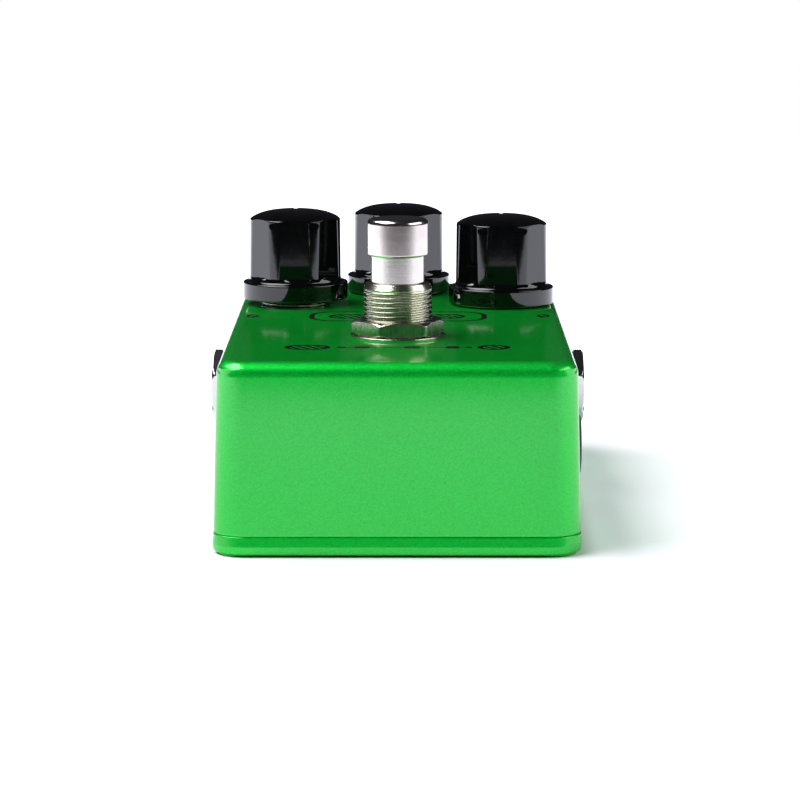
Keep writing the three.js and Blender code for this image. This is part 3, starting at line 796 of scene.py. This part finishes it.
class PEDAL_OT_knobs(bpy.types.Operator):
    """Knobs with flats, a skirt, a domed crown and a filled indicator line"""

    bl_idname = "pedal.knobs"
    bl_label = "Knobs"

    def execute(self, context):
        black = finish("knob_moulding", gloss_moulding)
        white = finish("indicator_fill", indicator_paint)
        for side in KNOB_SIDES:
            low, high = node_box(f"knob_{side}")
            place = ((low[0] + high[0]) / 2, (low[1] + high[1]) / 2, low[2])
            knob = self.knob(f"fluted_knob_{side}", place, context.scene.pedal_knob)
            settle(knob, black, f"{side}_knob", "black_gloss_plastic", f"knob_{side}")
            line = self.indicator(f"indicator_{side}", place, context.scene.pedal_knob)
            settle(line, white, f"{side}_knob", "black_gloss_plastic")
            coat(f"pot_shaft_{side}", finish("shaft_steel", plated, (0.6, 0.6, 0.62), 0.3))
            coat(f"knob_insert_{side}", finish("turned_brass", plated, (0.78, 0.56, 0.24), 0.28))
            coat(f"knob_set_screw_{side}", finish("black_oxide", plated, (0.12, 0.12, 0.13), 0.4))
        return {"FINISHED"}

    def knob(self, name, place, size):
        """A turned blank whose side is cut by shallow flats.

        The side's radius is the smooth minimum of the blank's and the flat's, distance / cos(angle from
        the flat's middle). Below a parabola over that angle the flat runs out to the blank at 45 degrees,
        and at the top it runs through the rim into the crown.
        """
        step = TAU / size.flutes
        half = math.acos(size.flute / size.foot)
        brim_z, foot_z = size.brim_height, size.skirt_height + 0.2
        inside = [(0, 13.2, 0), (3.15, 13.2, 0), (3.15, 12.9, 0), (4.6, 12.9, 0), (4.6, 3.0, 0.2),
                  (7.3, 3.0, 0.4), (7.3, 0, 0.15)]
        skirt = [(size.skirt, 0, 0.3), (size.skirt, size.skirt_height, 0.22),
                 (size.foot, foot_z, 0.5), (size.foot, foot_z + 0.8, 0)]
        lower = rounded_profile(inside + skirt, 6, 0.1)
        rise = np.concatenate([np.linspace(foot_z + 0.85, 5.4, 26), np.linspace(5.7, 13.9, 12)])
        share = (rise - size.skirt_height) / (brim_z - size.skirt_height)
        lean = size.foot + (size.brim - size.foot) * share
        edge = size.brim * 0.915
        rim = rounded_profile(
            [(size.brim, 14.0, 0), (size.brim, brim_z, 0.28), (edge, crown_height(size, edge), 0)], 10)
        reach = np.linspace(edge - 0.1, 0, 30)
        crown = np.stack([reach, crown_height(size, reach)], axis=-1)
        profile = np.vstack([lower, np.stack([lean, rise], axis=-1), rim, crown])

        def flats(r, z, t):
            away = (t + math.pi / 2 + step / 2) % step - step / 2
            flat = size.flute / np.cos(away)
            flat = flat + np.maximum(foot_z + 0.95 - 0.35 * (away / half) ** 2 - z, 0)
            on_side = (z > foot_z) & (r > size.flute - 0.2)
            x, y = r * np.cos(t), r * np.sin(t)
            groove = (np.abs(x) < 0.42) & (y > 1.0) & (y < size.brim - 0.5) & (z > brim_z)
            sunk = np.where(groove, z - 0.12, z)
            return np.where(on_side, smooth_min(r, flat, 0.1), r), sunk

        blank = revolve(name, profile, place, 420, shape=flats)
        hole = drill(1.6, 3.5, 12, 0, 0, 40)
        hole.data.transform(Matrix.Rotation(-math.pi / 2, 4, "X"))
        centre = Vector((place[0], place[1], place[2] + SET_SCREW_HEIGHT))
        hole.data.transform(Matrix.Translation(centre * MM))
        return carve(blank, (), [hole])

    def indicator(self, name, place, size):
        """Paint that fills the crown's groove, a strip that follows the crown 0.05 mm below it."""
        along = np.linspace(1.15, size.brim - 0.6, 24)
        across = np.array([-0.3, -0.28, 0.28, 0.3])
        y, x = np.meshgrid(along, across, indexing="ij")
        crown = crown_height(size, np.sqrt(x**2 + y**2))
        sink = np.array([0.2, 0.05, 0.05, 0.2])[None, :]
        loop_x = np.concatenate([x, x[:, ::-1]], axis=1)
        loop_y = np.concatenate([y, y[:, ::-1]], axis=1)
        loop_z = np.concatenate([crown - sink, crown[:, ::-1] - 0.25], axis=1)
        rings = np.stack([loop_x, loop_y, loop_z], axis=-1)[:, ::-1]
        rings = np.concatenate([rings[:1], rings, rings[-1:]])
        rings[0] = rings[0].mean(0)
        rings[-1] = rings[-1].mean(0)
        return skin(name, rings[::-1] + np.array(place))


class PEDAL_OT_potentiometers(bpy.types.Operator):
    """Potentiometers: bush, washer and nut above the panel, case below it"""

    bl_idname = "pedal.potentiometers"
    bl_label = "Potentiometers"

    def execute(self, context):
        for side in KNOB_SIDES:
            x, y, _ = node_centre(f"pot_shaft_{side}")
            bright = finish(f"pot_plate_{side}", turned_metal, (0.74, 0.72, 0.66), 0.2, (x, y, 0))
            radius, low, high = upright(f"pot_washer_{side}")
            washer = turned_ring(f"washer_{side}", 3.65, radius, low, high, (x, y, 0), 0.12)
            settle(washer, bright, "housing", "nickel_plate", f"pot_washer_{side}")
            _, low, high = upright(f"pot_nut_{side}")
            nut = hex_nut(f"nut_{side}", 10, 3.65, low, high, (x, y, 0), 0.3)
            settle(nut, bright, "housing", "nickel_plate", f"pot_nut_{side}")
            _, low, high = upright(f"pot_bush_{side}")
            bush = threaded_tube(f"bush_{side}", 3.25, 3.5, low, high, 0.75, (x, y, 0))
            settle(bush, bright, "housing", "nickel_plate", f"pot_bush_{side}")
            coat(f"pot_case_{side}", finish("pot_sheet", pressed_sheet))
        return {"FINISHED"}


def threaded_tube(name, inner, outer, low, high, pitch, centre, chamfer=0.4, plain=0.05, columns=96,
                  depth=None, start=None, fine=10):
    """A tube whose outside is a thread from `start` up to `plain` below its chamfer, with `fine` rows a turn.

    The outside radius is outer - depth x ridge(saw), where saw is the fractional part of z / pitch - t / 2 pi
    folded about its middle. The depth grows from nothing over the first half turn and fades over the last.
    """
    depth = pitch * 0.42 if depth is None else depth
    start = low + 0.02 if start is None else start
    end = high - chamfer - plain
    rows = max(int((end - start) / pitch * fine), 12)
    outside = np.stack([np.full(rows, outer), np.linspace(start, end, rows)], axis=-1)
    top = rounded_profile(
        [(outer, end, 0), (outer, high - chamfer, 0.15), (outer - chamfer * 0.6, high, 0.12),
         (inner, high, 0.15), (inner, high - 1, 0)], 4, 0.04)
    profile = np.vstack([[(inner, low), (outer, low)], outside, top[1:]])

    def thread(r, z, t):
        saw = np.abs((z / pitch - t / TAU) % 1 - 0.5) * 2
        fade = np.clip(np.minimum(z - start, end - z) / (pitch * 0.5), 0, 1)
        return np.where(r > outer - 0.001, r - depth * fade * smooth_ridge(saw), r), z

    return revolve(name, profile, centre, columns, closed=True, shape=thread, sharp=70)


def smooth_ridge(saw):
    """A thread's section: a flat crest, straight flanks and a rounded root."""
    share = np.clip(saw * 1.2 - 0.15, 0, 1)
    return share * (1.5 - 0.5 * share)


class PEDAL_OT_footswitch(bpy.types.Operator):
    """Footswitch: cap, plunger, threaded bush, nut and washer"""

    bl_idname = "pedal.footswitch"
    bl_label = "Footswitch"

    def execute(self, context):
        x, y, _ = node_centre("footswitch_bush")
        axis = (x, y, 0)
        radius, low, high = upright("footswitch_cap")
        socket_top, neck_z = 49.15, 45.97
        cap_profile = rounded_profile(
            [(0, socket_top, 0), (4.05, socket_top, 0.1), (4.05, low, 0.1), (radius, low, 0.3),
             (radius, high - 0.05, 0.85), (radius - 1.4, high, 1.0), (0, high, 0)], 7, 0.08)
        cap = revolve("switch_cap", cap_profile, axis, 128)
        satin = finish("cap_nickel", turned_metal, (0.66, 0.6, 0.57), 0.165, axis, 0.004, 0.16)
        settle(cap, satin, "footswitch_button", "nickel_plate", "footswitch_cap")

        _, low, high = upright("footswitch_plunger")
        stem = revolve("switch_stem", rounded_profile(
            [(0, low, 0), (4.5, low, 0.3), (4.5, neck_z, 0.1), (3.9, neck_z, 0.05), (3.9, high, 0.2),
             (0, high, 0)], 5, 0.08), axis, 128)
        settle(stem, finish("stem_nickel", turned_metal, (0.66, 0.62, 0.59), 0.19, axis, 0.005, 0.12),
               "footswitch_button", "nickel_plate", "footswitch_plunger")

        _, low, high = upright("footswitch_bush")
        bush = threaded_tube("switch_bush", 4.68, 5.9, low, high, 0.794, axis, chamfer=0.95, columns=144,
                             depth=0.38, start=32.2, fine=22)
        warm = finish("thread_nickel", turned_metal, (0.70, 0.66, 0.56), 0.2, axis, 0.001, 0.2)
        settle(bush, warm, "housing", "nickel_plate", "footswitch_bush")

        _, low, high = upright("footswitch_nut")
        nut = hex_nut("switch_nut", 14, 6.0, low, high, axis, math.radians(37))
        settle(nut, finish("nut_nickel", plated, (0.66, 0.62, 0.55), 0.27, axis, (3.0, 3.0, 0.1), 0.06, 0.45),
               "housing", "nickel_plate", "footswitch_nut")
        radius, low, high = upright("footswitch_washer")
        washer = turned_ring("switch_washer", 6.02, radius, low, high, axis, 0.14, 128)
        settle(washer, warm, "housing", "nickel_plate", "footswitch_washer")
        coat("footswitch_inner_nut", warm)
        coat("footswitch_case", finish("switch_case", satin_moulding, (0.02, 0.05, 0.12)))
        coat("footswitch_terminals", finish("pot_sheet", pressed_sheet))
        return {"FINISHED"}


class PEDAL_OT_sockets(bpy.types.Operator):
    """Signal jacks on both sides and the power jack"""

    bl_idname = "pedal.sockets"
    bl_label = "Sockets"

    def execute(self, context):
        plastic = finish("socket_moulding", satin_moulding, (0.012, 0.012, 0.013))
        for name, side in (("left", -1), ("right", 1)):
            _, y, z = node_centre(f"jack_nut_{name}")
            place = (0, y, z)
            back, face = self.reach(f"jack_body_{name}")
            bright = finish(f"jack_plate_{name}", plated, (0.66, 0.66, 0.67), 0.14, place, (0.3, 3.0, 3.0),
                            0.002, 0.1)
            body = self.jack(f"jack_{name}", back, 27.3, face)
            settle(point_along_x(body, side, place), plastic, "housing", "black_plastic", f"jack_body_{name}")
            near, far = self.reach(f"jack_washer_{name}")
            washer = turned_ring(f"socket_washer_{name}", 4.75, 6.2, near, far, (0, 0, 0), 0.2)
            settle(point_along_x(washer, side, place), bright, "housing", "nickel_plate",
                   f"jack_washer_{name}")
            near, far = self.reach(f"jack_nut_{name}")
            nut = hex_nut(f"socket_nut_{name}", 11.7, 4.75, near, far, (0, 0, 0), math.radians(30 + side * 4))
            settle(point_along_x(nut, side, place), bright, "housing", "nickel_plate", f"jack_nut_{name}")
        self.power_jack(plastic)
        return {"FINISHED"}

    def reach(self, node):
        """Distances along X of a node's inner and outer end from the middle of the pedal."""
        low, high = node_box(node)
        return sorted((abs(low[0]), abs(high[0])))

    def jack(self, name, back, shoulder, face):
        """A moulded block with a threaded nose and the plug's bore, made along +Z."""
        block = soft_box(name, (-6.3, -7, back), (6.3, 7, shoulder), 1.0, 0.4)
        nose = threaded_tube("nose", 3.25, 4.6, shoulder - 0.8, face, 0.8, (0, 0, 0), 0.35, 0.5, 96, 0.28)
        deep, mouth = back + 1.5, shoulder + 0.3
        bore = revolve("bore", rounded_profile(
            [(0, deep, 0), (3.25, deep, 0.2), (3.25, mouth, 0), (0, mouth, 0)], 3))
        return carve(carve(block, (), [bore]), [nose])

    def power_jack(self, plastic):
        """A moulded block with a flanged nose, a flared mouth and a round ended pin."""
        _, y, z = node_centre("power_jack_body")
        place = (0, y, z)
        back, face = self.reach("power_jack_body")
        block = soft_box("power_socket", (-5.6, -6, back), (5.6, 6, 27.2), 0.8, 0.4)
        nose = revolve("barrel", rounded_profile(
            [(0, 26.5, 0), (4.6, 26.5, 0), (4.6, 30.35, 0), (5.2, 30.35, 0.15), (5.2, face, 0.35),
             (0, face, 0)], 4, 0.06))
        mouth = revolve("mouth", rounded_profile(
            [(0, back + 2, 0), (2.75, back + 2, 0), (2.75, face - 0.4, 0), (3.2, face + 0.1, 0),
             (3.2, face + 1, 0), (0, face + 1, 0)], 3), (0, 0, 0), 64)
        body = carve(block, [nose], [mouth])
        settle(point_along_x(body, 1, place), plastic, "housing", "black_plastic", "power_jack_body")
        back, tip = self.reach("power_jack_pin")
        pin = revolve("power_pin", rounded_profile(
            [(0, back, 0), (1.0, back, 0.05), (1.0, tip, 0.5), (0, tip, 0)], 5, 0.05), (0, 0, 0), 48)
        bright = finish("pin_plate", plated, (0.8, 0.78, 0.72), 0.18)
        settle(point_along_x(pin, 1, place), bright, "housing", "nickel_plate", "power_jack_pin")


class PEDAL_OT_lamp(bpy.types.Operator):
    """Status lamp in its bezel"""

    bl_idname = "pedal.lamp"
    bl_label = "Status lamp"

    def execute(self, context):
        x, y, _ = node_centre("led_lens")
        radius, low, top = upright("led_lens")
        arc = np.linspace(0, math.pi / 2, 16)
        dome = np.stack([radius * np.cos(arc), top - radius + radius * np.sin(arc)], axis=-1)
        flange = rounded_profile([(0, low, 0), (radius + 0.3, low, 0.1), (radius + 0.3, low + 1, 0.1),
                                  (radius, low + 1, 0)], 3, 0.05)
        lens = revolve("lamp_lens", np.vstack([flange, dome]), (x, y, 0), 64)
        settle(lens, finish("lamp_clear", lamp_lens), "housing", "clear_lens", "led_lens")
        _, low, high = upright("led_bezel")
        hole = 2.62
        bezel = revolve("lamp_bezel", rounded_profile(
            [(hole, low + 0.5, 0), (hole, low, 0.05), (3.85, low, 0.1), (3.8, low + 0.45, 0.25),
             (2.95, high, 0.25), (hole, high, 0.1), (hole, low + 0.55, 0)], 5, 0.04), (x, y, 0), closed=True)
        bright = finish("bezel_chrome", turned_metal, (0.85, 0.85, 0.86), 0.08, (x, y, 0), 0.002, 0.1)
        settle(bezel, bright, "housing", "nickel_plate", "led_bezel")
        return {"FINISHED"}


class PEDAL_OT_electronics(bpy.types.Operator):
    """Finishes of the boards, chip, capacitor, lead and battery"""

    bl_idname = "pedal.electronics"
    bl_label = "Electronics"

    def execute(self, context):
        mask = finish("solder_mask", solder_mask)
        coat("control_board", mask)
        coat("effect_board", mask)
        coat("amplifier_chip", finish("chip_moulding", satin_moulding, (0.015, 0.015, 0.016)))
        coat("filter_capacitor",
             finish("capacitor_wrap", wrapped_can, (0.01, 0.02, 0.09), (0.35, 0.38, 0.45)))
        coat("ribbon_lead", finish("flat_lead", ribbed_lead))
        coat("battery", finish("battery_wrap", wrapped_can, (0.03, 0.032, 0.036), (0.5, 0.36, 0.1)))
        coat("battery_snap", finish("snap_moulding", satin_moulding, (0.02, 0.02, 0.02)))
        return {"FINISHED"}


class PEDAL_OT_stage(bpy.types.Operator):
    """Floor, lamps and camera"""

    bl_idname = "pedal.stage"
    bl_label = "Stage"

    def execute(self, context):
        scene = context.scene
        view = scene.pedal_stage
        self.floor()
        self.lamp("left_softbox", (-0.5, -0.04, 0.86), 0.62, 1.0, 14.5)
        self.lamp("right_softbox", (0.78, -0.16, 0.5), 0.5, 0.9, 4.6)
        world = scene.world or bpy.data.worlds.new("studio")
        scene.world = world
        world.use_nodes = True
        nodes, links = world.node_tree.nodes, world.node_tree.links
        nodes.clear()
        path = nodes.new("ShaderNodeLightPath")
        seen, lit = nodes.new("ShaderNodeBackground"), nodes.new("ShaderNodeBackground")
        seen.inputs["Color"].default_value = (1, 1, 1, 1)
        lit.inputs["Color"].default_value = (0.02, 0.02, 0.025, 1)
        either, out = nodes.new("ShaderNodeMixShader"), nodes.new("ShaderNodeOutputWorld")
        links.new(path.outputs["Is Camera Ray"], either.inputs[0])
        links.new(lit.outputs[0], either.inputs[1])
        links.new(seen.outputs[0], either.inputs[2])
        links.new(either.outputs[0], out.inputs[0])
        scene.view_settings.view_transform = "Standard"

        camera = bpy.data.cameras.new("camera")
        camera.lens, camera.sensor_width = view.lens, 36
        camera.clip_end = 50
        eye = bpy.data.objects.new("camera", camera)
        eye.location = view.eye
        eye.rotation_euler = (math.pi / 2 - view.pitch, 0, view.yaw)
        scene.collection.objects.link(eye)
        scene.camera = eye
        return {"FINISHED"}

    def floor(self):
        """White paper under the pedal, which fades out before its edges and glows a little far from it. Close
        round the pedal, outside its footprint, a faint glow is painted fill light that lightens the pedal's
        cast shadow.
        """
        mesh = bpy.data.meshes.new("floor")
        reach = 0.9
        mesh.from_pydata([(-reach, -reach, 0), (reach, -reach, 0), (reach, reach, 0), (-reach, reach, 0)], [],
                         [(0, 1, 2, 3)])
        floor = bpy.data.objects.new("floor", mesh)
        bpy.context.scene.collection.objects.link(floor)
        s = Shader("paper", Roughness=0.7, Specular_IOR_Level=0.1)
        x, y, _ = s.axes(s.mapped())
        away = (x * x + y * y) ** 0.5
        tone = s.noise(s.mapped(), 0.2, 3.0)
        glow = away.step(70.0, 330.0)
        # painted light: a faint glow on the floor beside the pedal lightens its cast shadow; there is none
        # under the pedal
        painted_fill_mask = box_distance(x, y, 31.0, 56.0, 5.0).step(-1.5, 3.0)
        near = s.mix(painted_fill_mask, (0.0, 0.0, 0.0), (0.22, 0.225, 0.26))
        front = y - (abs(x) - 60).most(0.0) * 0.2
        s.set(Base_Color=s.mix(tone, (0.9, 0.905, 0.915), (0.93, 0.93, 0.93)),
              Emission_Color=s.mix(glow, near, (0.8, 0.83, 1.0)),
              Alpha=front.step(-352.0, -296.0) * away.step(880.0, 600.0))
        s.surface.inputs["Emission Strength"].default_value = 1.1
        mesh.materials.append(s.material)

    def lamp(self, name, place, width, height, watts):
        """A soft rectangular lamp that faces the pedal."""
        data = bpy.data.lights.new(name, "AREA")
        data.shape, data.size, data.size_y, data.energy = "RECTANGLE", height, width, watts
        lamp = bpy.data.objects.new(name, data)
        lamp.location = place
        aim = Vector((0, 0, 0.02)) - Vector(place)
        lamp.rotation_euler = aim.to_track_quat("-Z", "Y").to_euler()
        bpy.context.scene.collection.objects.link(lamp)


class PEDAL_PT_panel(bpy.types.Panel):
    """Lists the pedal's pieces in the sidebar"""

    bl_idname = "PEDAL_PT_panel"
    bl_label = "Guitar pedal"
    bl_space_type = "VIEW_3D"
    bl_region_type = "UI"
    bl_category = "Pedal"

    def draw(self, context):
        layout = self.layout
        for operator in OPERATORS:
            layout.operator(operator.bl_idname)
        for group in (context.scene.pedal_casing, context.scene.pedal_knob, context.scene.pedal_stage):
            column = layout.column()
            for name in group.bl_rna.properties.keys():
                if name not in {"rna_type", "name"}:
                    column.prop(group, name)


OPERATORS = (
    PEDAL_OT_stage, PEDAL_OT_casing, PEDAL_OT_cover, PEDAL_OT_knobs, PEDAL_OT_potentiometers,
    PEDAL_OT_footswitch, PEDAL_OT_sockets, PEDAL_OT_lamp, PEDAL_OT_electronics,
)
GROUPS = {"pedal_casing": PedalCasing, "pedal_knob": PedalKnob, "pedal_stage": PedalStage}


def register():
    for cls in (*GROUPS.values(), *OPERATORS, PEDAL_PT_panel):
        bpy.utils.register_class(cls)
    for name, group in GROUPS.items():
        setattr(bpy.types.Scene, name, PointerProperty(type=group))


def unregister():
    for name in GROUPS:
        delattr(bpy.types.Scene, name)
    for cls in (PEDAL_PT_panel, *reversed(OPERATORS), *reversed(GROUPS.values())):
        bpy.utils.unregister_class(cls)


def main():
    register()
    for operator in OPERATORS:
        family, name = operator.bl_idname.split(".")
        getattr(getattr(bpy.ops, family), name)()


if __name__ == "__main__":
    main()
